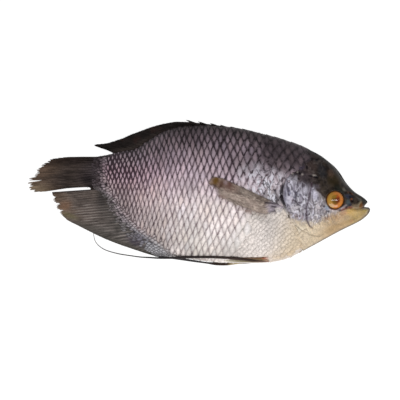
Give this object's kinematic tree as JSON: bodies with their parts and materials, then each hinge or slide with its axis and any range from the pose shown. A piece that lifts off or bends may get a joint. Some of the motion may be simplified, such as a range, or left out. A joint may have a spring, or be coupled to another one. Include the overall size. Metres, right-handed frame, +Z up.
{
  "type": "whole raw fish",
  "caption": "Whole raw deep-bodied freshwater fish lying on its side, with scaled flank, folded fins, long pelvic filaments and open eye.",
  "frame": {"origin": "on the surface the fish lies on, under the middle of its bounding box", "axes": "+X from the tail to the snout, +Y from the belly to the back, +Z up out of the flank that shows"},
  "size_m": [0.3416, 0.1454, 0.0496],
  "materials": {
    "skin": "moist grey skin with silvery pink scales on the flank, near-black back and fins, cream belly and throat",
    "eye": "wet, clear and glossy over an amber iris and a dark brown pupil"
  },
  "bodies": {
    "root": {"fish": "skin", "eye_right": "eye", "eye_left": "eye"}
  },
  "joints": []
}
